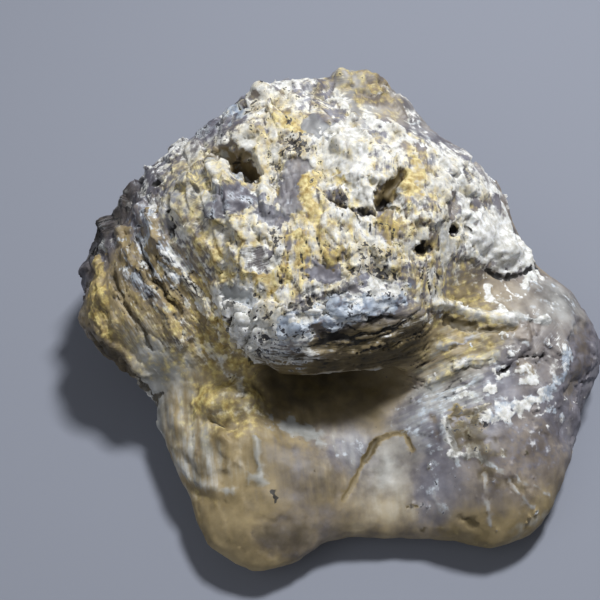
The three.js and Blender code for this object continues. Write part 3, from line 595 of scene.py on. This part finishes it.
# A place on the skin, how far its look reaches, and how strong each finish and each kind of
# relief is there. What lies between two places is a blend of them.
looks = [
    # crown
    ((-9, 15, 26), 4, dict(crust=0.5, gold=0.35, chips=0.9, pits=0.5, smoke=0.3, specks=0.6, frost=0.2)),
    ((-12.5, 15.5, 25), 3.2, dict(crust=0, frost=0.5, chips=0.8, smoke=1, specks=0.6)),
    ((-3, 17, 27), 5, dict(crust=0.5, smoke=0.3, frost=0.3, gold=0.1, chips=0.8, pits=0.6, specks=0.4)),
    ((-6, 13, 27), 2.5, dict(crust=0.7, gold=0.75, chips=0.8, pits=0.6, smoke=0.3, specks=0.4)),
    ((-6, 9, 26), 4, dict(crust=0.55, gold=0.3, smoke=0.3, frost=0.2, chips=0.8, blades=0.4, pits=0.8,
        specks=0.6)),
    ((-2, 8, 26), 3, dict(crust=0.65, gold=0.3, chips=0.7, blades=0.4, pits=0.8, specks=0.5)),
    ((7, 9, 26), 5, dict(crust=0.53, gold=0.3, smoke=0.3, tan=0.2, frost=0.15, chips=0.7, blades=0.4,
        pits=0.5)),
    ((7, 5, 25.5), 2.5, dict(crust=0.65, gold=0.4, chips=0.6, blades=0.5, honey=0.4)),
    ((13, 8, 22), 4, dict(crust=0.75, gold=0.15, frost=0.3, chips=0.7, pits=0.3)),
    ((-13, 1.5, 24), 3, dict(crust=0.45, gold=0.4, chips=1, smoke=0.4, honey=0.1, frost=0.25)),
    ((-17, 6, 23), 4, dict(crust=0.36, gold=0.35, chips=1, honey=0.1, smoke=0.2, milk=0.5, frost=0.35)),
    ((-3.5, 3.5, 25), 2.5, dict(crust=0.6, gold=0.5, chips=0.8, blades=0.4, smoke=0.3, frost=0.2)),
    ((-8, 1, 24.6), 3, dict(crust=0.4, gold=0.4, chips=0.7, blades=0.5, smoke=0.4, specks=0.5)),
    ((1, 1.5, 24.6), 3, dict(crust=0.65, gold=0.45, smoke=0.2, chips=0.8, blades=0.6)),
    ((7, 2, 24), 4, dict(crust=0.42, gold=0.32, chips=0.7, blades=0.5, tan=0.6, pits=0.4, specks=0.3)),
    ((12, 4, 20), 4, dict(crust=0.5, gold=0.3, chips=0.7, blades=0.5, smoke=0.4, pits=0.6, specks=0.3)),
    ((-12, -1, 22), 3.5, dict(crust=0.4, gold=0.5, honey=0.3, blades=0.9, chips=0.6, smoke=0.3,
        frost=0.25)),
    ((-7, -2, 23), 3, dict(crust=0.4, gold=0.4, blades=0.8, chips=0.7, smoke=0.3, specks=0.6, frost=0.25)),
    ((-3.5, -1.5, 23.5), 3, dict(crust=0.36, gold=0.6, blades=0.9, chips=0.6, honey=0.5, smoke=0.3)),
    ((-5, -5, 22), 3, dict(crust=0.35, gold=0.6, blades=1, chips=0.5, smoke=0.4)),
    ((3, -3, 22), 3.5, dict(crust=0.5, gold=0.3, blades=0.5, chips=0.8, smoke=0.5, pits=0.7, specks=0.7)),
    ((9, -3, 19), 3.5, dict(crust=0.45, gold=0.35, blades=1, tan=0.5, smoke=0.4)),
    # brow
    ((-11, -7, 18.5), 3, dict(crust=2.2, frost=0.9, chips=1, pits=0.8, specks=0.55)),
    ((-7, -8, 19.5), 3, dict(crust=1, frost=0.8, smoke=0.3, chips=0.7, specks=0.85, gold=0.2)),
    ((-1, -8, 20), 3, dict(crust=0.4, frost=0.9, chips=0.5, specks=0.5, strata=0.5)),
    ((4, -7, 20), 3, dict(crust=0.4, frost=0.9, chips=0.5, specks=0.5, strata=0.5)),
    # the brow's face below the rim is stained dark: partly its own dark beds, partly painted shade where it
    # faces down, away from the lamp
    ((-8, -10, 15.6), 3, dict(smoke=0.6, frost=0.7, honey=0.5, stain=0.5, strata=1, crust=0.3, specks=0.8)),
    ((0, -10.5, 16.5), 3, dict(smoke=0.9, honey=0.9, stain=1.1, strata=1.1, crust=0.05)),
    ((3.5, -9.5, 16.5), 3, dict(smoke=0.8, honey=0.9, stain=1, strata=1.1, crust=0.05)),
    ((7, -8.5, 16), 3, dict(smoke=0.6, tan=0.5, honey=0.8, stain=1, strata=1)),
    ((-6, -9.5, 13), 2.5, dict(honey=1, smoke=0.3, stain=0.75, strata=1)),
    ((2, -10, 13), 2.5, dict(honey=1, stain=0.8, strata=0.8, crust=0.1)),
    # under the brow: painted shade, a dark brown stain where the brow's shadow falls on the apron
    ((-1, -7.5, 9.5), 3.5, dict(stain=1.4, honey=1)),
    ((-5, -10, 8.5), 3, dict(stain=1.4, honey=1)),
    ((4, -10, 8.2), 3, dict(stain=0.95, honey=1)),
    ((-1, -12.2, 7.2), 2.5, dict(stain=0.9, honey=1)),
    # left shoulder
    ((-21, 5, 19.5), 3.5, dict(frost=0.5, crust=0.2, smoke=0.6, honey=0.3, ribs=1, specks=0.4)),
    ((-26, 9, 15), 4.5, dict(smoke=1, dark=0.6, tan=0.5, chips=0.9, crust=0.17, pits=0.5, stain=0.8,
        frost=0.25, specks=0.6)),
    ((-28.5, 4, 12), 3, dict(smoke=1, dark=0.6, tan=0.4, stain=0.5, chips=0.7, pits=0.3, crust=0.1)),
    ((-29.5, -1, 9.5), 3, dict(smoke=0.8, stain=0.5, honey=0.5, chips=0.9)),
    ((-27, -1, 14), 3, dict(gold=0.15, crust=0.08, honey=0.9, smoke=0.5, ribs=0.7, stain=0.3)),
    ((-23, -1, 16.5), 3, dict(honey=0.8, smoke=0.7, frost=0.3, ribs=0.9, stain=0.2, crust=0.1)),
    ((-22.5, -5, 14), 3, dict(gold=0.2, honey=1, crust=0.1, milk=0.2, ribs=0.8, stain=0.1)),
    ((-19, 0, 18.5), 3.5, dict(gold=0.15, crust=0.15, honey=0.6, frost=0.6, smoke=0.6, ribs=1, stain=0.2)),
    ((-16, -5, 15), 3.5, dict(gold=0.3, honey=0.8, crust=0.2, ribs=0.9, smoke=0.4, stain=0.1)),
    ((-13, -8, 13), 2.5, dict(gold=0.75, honey=1, milk=0.3, crust=0.35, ribs=0.3)),
    ((-21, -7.5, 12), 3, dict(honey=0.9, milk=1.1, frost=0.2, gold=0.4, crust=0.15, ribs=0.4)),
    # the shoulder's lower rim is stained dark: partly its own brown, partly painted shade where it faces down
    ((-25, -6.5, 8), 3, dict(tan=1, stain=1, honey=0.5, chips=0.9, scallops=0.5)),
    ((-21, -10.5, 6), 3.5, dict(honey=0.7, milk=1.1, crust=0.25, chips=0.4, scallops=0.5)),
    # apron and feet
    ((-12, -13, 10), 2.6, dict(gold=0.7, honey=1, milk=0.3, crust=0.3, chips=0.3)),
    ((-17, -13, 8.5), 4, dict(honey=1, milk=0.35, gold=0.15, flutes=1)),
    ((-15.5, -18.5, 7.6), 3.5, dict(honey=0.9, milk=0.7, flutes=1)),
    ((-10, -18, 9.5), 4, dict(honey=0.9, milk=0.2, smoke=0.6, tan=0.6, stain=0.6, flutes=0.6)),
    ((-5, -16, 8), 3, dict(honey=0.7, tan=0.2, smoke=0.3, stain=0.2, flutes=0.9)),
    ((0, -15.8, 7.1), 2.8, dict(milk=0.65, frost=0.4, flutes=0.4)),
    ((5.5, -18.5, 5.6), 3, dict(milk=0.6, honey=0.5, smoke=0.2)),
    ((4.5, -23, 5), 3, dict(milk=0.4, honey=0.7, flutes=0.3)),
    ((9, -14, 9), 3, dict(milk=0.6, frost=0.5, fan=0.6)),
    ((-14, -24, 6.5), 4, dict(honey=1, flutes=0.7)),
    ((-9, -28.5, 5), 4, dict(tan=0.9, honey=0.8, stain=0.2)),
    ((-3.8, -26.2, 5.6), 2.5, dict(tan=0.8, honey=0.3, stain=0.35, smoke=1)),
    ((-3.6, -20.2, 8.6), 3.4, dict(smoke=1.2, honey=0.4, tan=0.8, stain=0.8, flutes=0.4)),
    ((4, -26.5, 3), 3, dict(honey=0.6, tan=0.8, smoke=0.4, stain=0.4)),
    ((10.5, -21, 7.6), 3, dict(flutes=0.4, specks=0.4, frost=0.35, lace=0.2)),
    ((14, -22, 8), 3.5, dict(flutes=0.4, tan=0.9, stain=0.8, smoke=0.6)),
    ((20, -18, 7), 4, dict(tan=1.1, smoke=0.6, stain=0.2, flutes=0.6, lace=0.2, frost=0.15)),
    ((15, -26.5, 4), 3.5, dict(stain=0.45, honey=1.1, tan=0.3)),
    ((22, -23, 4), 4, dict(tan=0.7, honey=0.9, stain=0.3, flutes=0.3)),
    # right wing
    ((12, -8.5, 12), 3.5, dict(honey=1, milk=0.35, gold=0.2, fan=1)),
    ((15, -4, 14), 3.5, dict(honey=1, crust=0.1, gold=0.3, milk=0.25, fan=0.9)),
    ((10.5, -12, 10.4), 2.5, dict(honey=0.5, milk=0.8, frost=0.5, fan=1)),
    ((13.5, -11.5, 11), 2.5, dict(honey=0.3, milk=0.8, frost=0.5, fan=1, lace=0.3)),
    ((17, -12.5, 10.6), 3, dict(crust=0.1, frost=0.45, chips=0.2, fan=0.3, lace=0.5)),
    ((14, -14.6, 10.3), 2.6, dict(crust=0.1, gold=0.25, smoke=1.2, stain=0.35, chips=0.5, specks=0.9)),
    ((22, -7, 11.8), 3, dict(crust=0.05, chips=0.5, tan=0.6, frost=0.25, lace=0.8)),
    ((24, -13, 8.4), 3, dict(crust=0.1, smoke=0.5, chips=0.5, tan=0.4, lace=0.8, frost=0.2)),
    ((18.5, 0, 13.8), 3, dict(tan=1, milk=0.1, honey=0.35, lace=1, frost=0.3)),
    ((21, -1, 13.2), 3, dict(tan=0.9, milk=0.5, lace=0.9, frost=0.3, honey=0.2)),
    ((25, -0.5, 11.8), 3.5, dict(tan=0.7, milk=0.9, frost=0.35, lace=0.5)),
    ((29, -5, 7.5), 4, dict(smoke=1.1, tan=0.5, stain=0.2, scallops=1, chips=0.4)),
    ((26.5, -11, 7), 4, dict(smoke=0.7, tan=0.5, scallops=1, chips=0.3)),
    ((18.5, 4.6, 15), 2.4, dict(crust=0.9, chips=0.3)),
    # back and underside
    ((3, 18, 25.5), 4, dict(tan=1, milk=0.4, honey=0.2, gold=0.25, specks=0.3, chips=0.5, crust=0.12)),
    ((9, 14, 24), 3.5, dict(tan=0.4, milk=0.3, frost=0.5, crust=0.15)),
    ((-8, 21, 22), 4, dict(crust=0.6, tan=0.3, chips=0.8, pits=0.4, specks=0.3)),
    ((-1, 24, 20), 4, dict(tan=0.9, honey=0.3, scallops=1, crust=0.1)),
    ((8, 22, 18), 4.5, dict(milk=0.5, tan=0.5, scallops=1, chips=0.3, crust=0.2)),
    ((0, 27, 12), 6, dict(tan=0.8, stain=0.2, scallops=1, chips=0.3)),
    ((-12, 22, 12), 5, dict(honey=0.6, tan=0.6, scallops=1, chips=0.4, crust=0.25)),
    ((-20, 16, 14), 4.5, dict(smoke=0.9, crust=0.3, chips=0.9, pits=0.5, frost=0.3)),
    ((-24, 10, 7), 5, dict(smoke=0.9, tan=0.4, scallops=1, chips=0.4)),
    ((15, 15, 14), 5, dict(tan=0.6, crust=0.5, chips=0.6, scallops=0.5)),
    ((22, 8, 9), 5, dict(honey=0.5, tan=0.6, scallops=1, crust=0.1)),
    ((0, 22, 4), 8, dict(tan=0.8, honey=0.4, chips=0.2, scallops=1)),
    ((-20, 2, 2), 8, dict(tan=0.8, honey=0.3, stain=0.2, scallops=1)),
    ((20, 0, 3), 8, dict(tan=0.7, smoke=0.5, scallops=1)),
    ((0, -4, 0), 10, dict(tan=0.7, honey=0.5, stain=0.3, scallops=0.6, specks=0.4)),
    ((-8, -20, 0.5), 7, dict(tan=0.6, honey=0.7)),
    ((14, -18, 0.5), 7, dict(tan=0.6, honey=0.5)),
]
finishes = ["honey", "milk", "tan", "smoke", "frost", "crust", "gold", "stain", "dark", "specks"]
reliefs = ["chips", "blades", "ribs", "strata", "flutes", "fan", "pits", "scallops", "lace"]


def looksAt(places):
    # every finish and relief at each place
    wandering = shoved(shoved(places, 5, 1.4, 11), 1.5, 0.5, 12)
    total = np.full(len(places), 1e-9)
    found = {name: np.zeros(len(places)) for name in finishes + reliefs}
    for at, reach, strengths in looks:
        pull = np.exp(-((wandering - at) ** 2).sum(1) / reach**2)
        total += pull
        for name, strength in strengths.items():
            found[name] += pull * strength
    return {name: value / total for name, value in found.items()}


def layMarks(look, places, skin):
    # lays each mark's finishes and relief over the looks
    pushed, ragged, broken = frays(places)
    for mark in marks.values():
        close, share, _ = markShare(mark, places, pushed, ragged, skin)
        share += mark.get("fray", 1) * broken[close] * ease(share, 0, 0.2)
        cover = ease(share, 0.02, mark.get("blend", 0.45))
        for name, value in look.items():
            if name in mark:
                value[close] += cover * (mark[name] - value[close])


# the skin: chips, blades, beds and flutes

skinRelief = {
    "blockSize": 6.5,
    "blockTilt": 0.16,
    "chipWay": (0.3, -0.9, -0.4),
    "chipShape": (4.2, 2.1, 2.8),  # length along that way, width, thickness
    "chipTilt": 0.25,
    "chipStep": 0.2,
    "splinterSize": 1.2,
    "splinterTilt": 0.1,
    "splinterStep": 0.1,
    "seamWidth": 0.16,  # of the open joints between some chips
    "seamDepth": 0.16,
    "seamShare": 0.4,  # how many of the joints are open
    "jointWidth": 0.7,  # how far crust fills a joint from its middle
    "bladeStep": 0.25,
    "crustThickness": 0.03,
    "crustLevel": -0.04,  # more gives crust everywhere
    "laceMesh": 2.6,  # of the thin crust that runs in rings and strands
    "laceWidth": 0.3,
    "laceShare": 0.6,
    "dents": 0.22,  # shallow hollows all over
    "dentSize": 4,
    "lumps": 0.04,  # small swells all over
    "lumpSize": 1.5,
    "scallopSize": 7,  # shell-shaped hollows where large flakes came off
    "scallopDepth": 0.55,
    "scallopWidth": 2.4,
    "pitSize": 1.9,
    "pitDepth": 0.45,
    "lineGap": 0.42,  # between the fine ribs on a chip
    "ribbedShare": 0.4,  # how many of the chips show them
    "restingFade": 1.2,  # height over the floor below which the skin grows smooth
}
# beds of long grains: the way they run, the way the skin faces there, length, width, thickness, tilt
streaks = {
    "blades": {"way": (0.05, -0.82, -0.57), "out": (0, -0.57, 0.82), "size": (4.5, 1.0, 2), "tilt": 0.42},
    "ribs": {"way": (0.5, -0.8, -0.35), "out": (-0.5, -0.3, 0.8), "size": (3.6, 0.65, 1.4), "tilt": 0.36},
    "strata": {"way": (1, 0.05, 0.02), "out": (0, -0.92, 0.38), "size": (6, 0.8, 6), "tilt": 0.5},
    "flutes": {"way": (0.1, -0.96, -0.22), "out": (0, -0.22, 0.97), "size": (14, 1.8, 3), "tilt": 0.12},
    "fan": {"way": (0.93, 0.3, 0.2), "out": (0, -0.4, 0.9), "size": (8, 1.1, 3), "tilt": 0.3},
}


def leans(middle):
    # the way that each grain's face leans
    return np.stack([dice(middle, axis) for axis in (1, 2, 3)], axis=1) * 2 - 1


def carveSkin(mesh, skin):
    size = skinRelief
    spots, facing = corners(mesh)
    look = looksAt(spots)
    layMarks(look, spots, skin)
    bent = shoved(spots, 3.2, 0.45, 21)
    wavy = shoved(shoved(spots, 8, 1.6, 22), 2.2, 0.5, 23)

    # blocks, the chips on them and the splinters on those
    _, offset, middle = grains(bent, size["blockSize"], 3)
    block = size["blockTilt"] * (offset * leans(middle)).sum(1)
    turned = bent @ np.array(axesAlong(size["chipWay"], (0, 0, 1))).T
    edge, offset, middle = grains(turned / size["chipShape"], 1, 1)
    edge, offset = edge * min(size["chipShape"]), offset * size["chipShape"]
    lean = leans(middle)
    chip = size["chipTilt"] * (offset * lean).sum(1) + size["chipStep"] * (dice(middle, 5) - 0.5)
    chipRoll = dice(middle, 9)
    chipKind = np.floor(chipRoll * 997)[:, None] * np.ones(3)
    seam = look["chips"] * ease(edge, size["seamWidth"], 0.03) * (dice(middle, 7) < size["seamShare"])
    lines = (spots * lean).sum(1) / np.linalg.norm(lean, axis=1) / size["lineGap"] + 40 * chipRoll
    _, offset, middle = grains(bent, size["splinterSize"], 2)
    splinter = size["splinterTilt"] * (offset * leans(middle)).sum(1)
    splinter += size["splinterStep"] * (dice(middle, 5) - 0.5)
    splinterRoll = dice(middle, 9)

    height = look["chips"] * (block + chip + splinter) - size["seamDepth"] * seam
    joints = look["chips"] * ease(edge, size["jointWidth"], 0.1)
    roll = 0.6 * chipRoll + 0.4 * splinterRoll  # each grain's own number, for its crust and tone
    dark = look["dark"]

    # long grains: blades, ribs, beds, flutes and the fan's
    for seed, (name, streak) in enumerate(streaks.items(), 4):
        turned = wavy @ np.array(axesAlong(streak["way"], streak["out"])).T
        edge, offset, middle = grains(turned / streak["size"], 1, seed)
        streakRoll = dice(middle, 9)
        lean = streak["tilt"] * np.where(dice(middle, 4) > 0.5, 1, -1) * (0.4 + 0.6 * dice(middle, 6))
        raised = lean * offset[:, 1] * streak["size"][1]
        raised += size["bladeStep"] * streak["tilt"] * (streakRoll - 0.5)
        gap = ease(edge, 0.13, 0.02) * (dice(middle, 7) < size["seamShare"])
        height += look[name] * (raised - 0.5 * streak["tilt"] * gap)
        dark = np.maximum(dark, look[name] * gap * 2.2 * streak["tilt"])
        joints = joints + look[name] * ease(edge, 0.2, 0.03) * (1 - gap) * streak["tilt"] * 2
        roll = roll + look[name] * (streakRoll - roll)

    # flake scars and pits
    lumps = hills(spots, size["lumpSize"], 8)
    edge, _, middle = grains(bent, size["scallopSize"], 12)
    scallop = ease(edge, 0, size["scallopWidth"]) * (0.4 + 0.6 * dice(middle, 3))
    edge, offset, middle = grains(bent, size["pitSize"], 10)
    pitWide = 0.15 + 0.4 * dice(middle, 2)
    pit = ease(1 - np.linalg.norm(offset, axis=1) / pitWide, 0, 0.7) * (dice(middle, 4) < 0.9 * look["pits"])

    # crust fills the joints between chips first, and then spreads over them
    cover = 0.5 + 1.6 * (0.7 * roll + 0.3 * (0.5 + lumps) - 0.5)
    joints = np.clip(joints, 0, 1)
    crust = look["crust"] + size["crustLevel"] - cover + 0.35 * joints - 0.5 * seam
    crust = np.clip(0.5 + 1.5 * crust, 0, 1) * ease(look["crust"], 0.02, 0.25)
    edge, _, middle = grains(shoved(wavy, 1.2, 0.5, 24), size["laceMesh"], 13)
    lace = ease(edge, size["laceWidth"], 0.05) * (dice(middle, 4) < size["laceShare"])
    lace *= ease(lumps, -0.3, 0.2)
    crust = np.maximum(crust, look["lace"] * lace)
    height += size["dents"] * hills(spots, size["dentSize"], 9, 3) + size["lumps"] * lumps
    height -= size["scallopDepth"] * look["scallops"] * scallop
    height += size["crustThickness"] * ease(crust, 0.3, 0.7)
    height -= size["pitDepth"] * pit
    height *= ease(spots[:, 2], 0.1, size["restingFade"])

    # what the material reads
    painted = {name: look[name] for name in finishes + list(streaks)}
    painted["crust"] = crust
    painted["gold"] = look["gold"] * (1 + 0.8 * (roll - 0.5) + 0.6 * joints)
    broken = look["chips"] + look["ribs"] + look["blades"]
    painted["smoke"] = look["smoke"] + 0.5 * broken * (roll - 0.5)
    painted["frost"] = look["frost"] + 0.8 * look["ribs"] * (0.5 - roll)
    painted["honey"] = look["honey"] + 0.6 * look["ribs"] * (roll - 0.5)
    painted["tan"] = look["tan"] + 0.6 * look["chips"] * (dice(chipKind, 1) < 0.3)
    painted["milk"] = look["milk"] + 0.5 * look["chips"] * (dice(chipKind, 1) > 0.75)
    # painted shade: the pits are painted dark inside
    painted["dark"] = np.maximum(dark, 0.65 * pit)
    painted["stain"] = np.maximum(look["stain"], 0.8 * seam)
    painted["rough"] = np.clip(broken + look["strata"] + look["crust"] - 0.3, 0, 1)
    painted["tone"] = 0.5 + np.clip(broken + look["strata"], 0, 1) * (roll - 0.5)
    painted["lines"] = lines
    painted["chips"] = look["chips"] * np.where(dice(chipKind, 2) < size["ribbedShare"], 0.6, 0.1)
    for name, value in painted.items():
        layer = mesh.attributes.new(name, "FLOAT", "POINT")
        layer.data.foreach_set("value", value.astype(np.float32))
    spots = spots + facing * height[:, None]
    spots[:, 2] = np.maximum(spots[:, 2], 0)
    moveCorners(mesh, spots)


stone, skin = cutBlank()
print("blank cut:", len(stone.data.vertices), "corners")
deepMarks = [name for name, mark in marks.items() if abs(mark["rise"]) >= 0.9]
fineMarks = [name for name in marks if name not in deepMarks]
pressMarks(stone.data, skin, deepMarks)
withModifiers(stone, ("REMESH", {"mode": "VOXEL", "voxel_size": blank["fineGrain"] * mm}))
dropCrumbs(stone.data)
print("large features pressed:", len(stone.data.vertices), "corners")
pressMarks(stone.data, skin, fineMarks)
carveSkin(stone.data, skin)
print("skin carved")
share = blank["triangles"] / (2 * len(stone.data.polygons))
withModifiers(stone, ("DECIMATE", {"ratio": min(share, 1), "use_collapse_triangulate": True}))
stone.data.shade_smooth()
print("stone finished:", len(stone.data.polygons), "triangles")


# weathered chalcedony: translucent stone that broke in chips and took on a chalky rind, so
# bare chips are glassy and the rind is dull

patterns = {
    # size in mm and detail; the finest are drawn coarser than the real grain so that they show
    "dust": (0.28, 2),
    "grain": (0.6, 4),
    "mottle": (1.3, 4),
    "cloud": (2.6, 4),
}
chalcedony = {
    "bare": ("#68666F", "#9495A2"),
    "bareRoughness": 0.5,
    # each coat lies over the ones before it: its two tones and the pattern that mixes them, the
    # patterns that fray its edge, where that edge starts and ends, its thickest, its roughness
    "coats": {
        "tan": ("#6C6259", "#9C9289", "cloud", dict(grain=0.4, cloud=0.8), (0.1, 0.95), 1, 0.52),
        "smoke": ("#54525C", "#84828C", "mottle", dict(grain=1, mottle=1, relief=0.5), (0.3, 0.75), 0.9, 0.5),
        "honey": ("#84744E", "#A8966E", "cloud", dict(cloud=0.6, grain=0.2, relief=0.6),
            (0.05, 0.9), 0.95, 0.6),
        "milk": ("#979A98", "#C6CACB", "cloud", dict(cloud=0.6, relief=1.1), (0.1, 1.0), 0.85, 0.55),
        "frost": ("#93A3B8", "#DCE6F0", "mottle", dict(grain=1, mottle=1.5, relief=1),
            (0.35, 0.75), 0.85, 0.5),
        "crust": ("#D3D2CA", "#F9FBFC", "grain", dict(grain=1.2, dust=0.4, relief=1.4), (0.2, 0.8), 1, 0.75),
        "gold": ("#B79847", "#EAD98F", "grain", dict(mottle=2.4, grain=1.4, relief=1.2),
            (0, 1.2), 0.85, 0.75),
        # stain is partly the stone's own brown stain and partly painted shade: it darkens the hollow under
        # the brow, the brow's face, the cave, holes, grooves, clefts and dips
        "stain": ("#2A210B", "#4E4220", "mottle", dict(cloud=0.5, relief=-0.5), (0.3, 1.0), 0.9, 0.6),
        "specks": ("#1B1C26", "#34343E", "grain", dict(dust=1.5, grain=3, mottle=3), (1.0, 1.2), 0.95, 0.5),
        # dark is near black: the stone's own black specks, and painted shade inside holes, pits, cracks,
        # slots and dips
        "dark": ("#0E0C0A", "#1E1B18", "grain", dict(grain=0.6, relief=-0.8), (0.35, 0.8), 0.95, 0.6),
    },
    "streakSize": 0.35,  # of the fine streaks, as a share of their grains
    # each chip and blade is a little lighter or darker than its neighbours: the patterns that
    # join in, their span, and how dark and light that makes it
    "toneMix": {"grain": 1.5, "dust": 1, "relief": 0.8},
    "toneSpan": (1.2, 2.7),
    "toneRange": (0.66, 1.08),
    "smoothTone": 0.35,  # how much of it the smooth skin keeps
    "bumpDepth": 0.08,
    "chalkBump": (0.1, 0.45),  # the grain's share of it on bare chips and on crust
    "ribBump": (0.3, 1.2),  # the ribs' share of it on smooth skin and on chips
    "ior": 1.54,
    "glow": 0.12,
    "glowDepth": 0.8,
    "glowReach": (1, 0.85, 0.7),
}


def addNode(tree, kind, inputs, give=0, **settings):
    # adds a node and gives an output of it; each input is given a value or another node's output
    node = tree.nodes.new("ShaderNode" + kind)
    for name, value in settings.items():
        setattr(node, name, value)
    for socket, value in inputs.items():
        if isinstance(value, bpy.types.NodeSocket):
            tree.links.new(value, node.inputs[socket])
        else:
            node.inputs[socket].default_value = value
    return node.outputs[give]


def weatheredChalcedony():
    recipe = chalcedony
    material = bpy.data.materials.new("weatheredChalcedony")
    material.use_nodes = True
    tree = material.node_tree
    shader = tree.nodes["Principled BSDF"]
    place = addNode(tree, "TexCoord", {}, "Object")
    names = list(recipe["coats"]) + ["tone", "rough", "lines", "chips"] + list(streaks)
    painted = {name: addNode(tree, "Attribute", {}, "Fac", attribute_name=name) for name in names}
    cloud = {}
    for shift, (name, (size, detail)) in enumerate(patterns.items()):
        moved = addNode(tree, "Mapping", {0: place, 1: (0.1 * shift, 0.03, 0)})
        inputs = {"Vector": moved, "Scale": 1 / (size * mm), "Detail": detail}
        cloud[name] = addNode(tree, "TexNoise", inputs, "Fac")

    # relief: fine ribs on each chip, and streaks along the blades, ribs, beds and flutes
    ribbed = addNode(tree, "TexNoise", {"W": painted["lines"], "Detail": 2}, "Fac", noise_dimensions="1D")
    relief = addNode(tree, "Mix", {0: painted["chips"], 2: 0.5, 3: ribbed})
    for name, streak in streaks.items():
        turn = axesAlong(streak["way"], streak["out"]).transposed().to_euler()
        fine = [side * recipe["streakSize"] * mm for side in streak["size"]]
        turned = addNode(tree, "Mapping", {0: place, 2: turn, 3: fine}, vector_type="TEXTURE")
        streaky = addNode(tree, "TexNoise", {"Vector": turned, "Scale": 1, "Detail": 3}, "Fac")
        relief = addNode(tree, "Mix", {0: painted[name], 2: relief, 3: streaky})
    cloud["relief"] = addNode(tree, "MapRange", {0: relief, 1: 0.25, 2: 0.75, 3: 0, 4: 1}, clamp=False)

    shade = addNode(tree, "MapRange", {0: cloud["cloud"], 1: 0.35, 2: 0.65})
    low, high = [linear(tone) for tone in recipe["bare"]]
    colour = addNode(tree, "Mix", {0: shade, 6: low, 7: high}, 2, data_type="RGBA")
    roughness = recipe["bareRoughness"]
    shares = {}
    for name, (low, high, mottle, fray, edge, most, rough) in recipe["coats"].items():
        reach = painted[name]
        for pattern, much in fray.items():
            reach = addNode(tree, "Math", {0: cloud[pattern], 1: much, 2: reach}, operation="MULTIPLY_ADD")
        lift = sum(fray.values()) / 2
        inputs = {0: reach, 1: edge[0] + lift, 2: edge[1] + lift, 3: 0, 4: most}
        share = addNode(tree, "MapRange", inputs, interpolation_type="SMOOTHSTEP")
        here = addNode(tree, "MapRange", {0: painted[name], 1: 0, 2: 0.2})
        share = addNode(tree, "Math", {0: share, 1: here}, operation="MULTIPLY")
        shade = addNode(tree, "MapRange", {0: cloud[mottle], 1: 0.36, 2: 0.64})
        tones = addNode(tree, "Mix", {0: shade, 6: linear(low), 7: linear(high)}, 2, data_type="RGBA")
        colour = addNode(tree, "Mix", {0: share, 6: colour, 7: tones}, 2, data_type="RGBA")
        roughness = addNode(tree, "Mix", {0: share, 2: roughness, 3: rough})
        shares[name] = share

    tone = painted["tone"]
    for pattern, much in recipe["toneMix"].items():
        tone = addNode(tree, "Math", {0: cloud[pattern], 1: much, 2: tone}, operation="MULTIPLY_ADD")
    ends = dict(enumerate(recipe["toneSpan"] + recipe["toneRange"], 1))
    tone = addNode(tree, "MapRange", {0: tone, **ends})
    uneven = addNode(tree, "MapRange", {0: painted["rough"], 3: recipe["smoothTone"], 4: 1})
    colour = addNode(
        tree, "Mix", {0: uneven, 6: colour, 7: tone}, 2, data_type="RGBA", blend_type="MULTIPLY"
    )
    tree.links.new(colour, shader.inputs["Base Color"])
    tree.links.new(roughness, shader.inputs["Roughness"])

    # the rind is grainy, the bare chips nearly smooth
    low, high = recipe["chalkBump"]
    chalk = addNode(tree, "MapRange", {0: shares["crust"], 3: low, 4: high})
    chalk = addNode(tree, "Math", {0: cloud["grain"], 1: chalk}, operation="MULTIPLY")
    low, high = recipe["ribBump"]
    ribbing = addNode(tree, "MapRange", {0: painted["rough"], 3: low, 4: high})
    bumps = addNode(tree, "Math", {0: relief, 1: ribbing, 2: chalk}, operation="MULTIPLY_ADD")
    bump = addNode(tree, "Bump", {"Height": bumps, "Distance": recipe["bumpDepth"] * mm})
    tree.links.new(bump, shader.inputs["Normal"])
    shader.inputs["IOR"].default_value = recipe["ior"]
    shader.inputs["Subsurface Weight"].default_value = recipe["glow"]
    shader.inputs["Subsurface Scale"].default_value = recipe["glowDepth"] * mm
    shader.inputs["Subsurface Radius"].default_value = recipe["glowReach"]
    return material


stone.data.materials.clear()
stone.data.materials.append(weatheredChalcedony())
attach(stone, "root")
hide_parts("stone")
print("material ready")

sizes = {"cad": cadBox, "visual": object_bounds()}
sizes = {name: [[float(side) for side in corner] for corner in box] for name, box in sizes.items()}
print("sizes:", sizes)
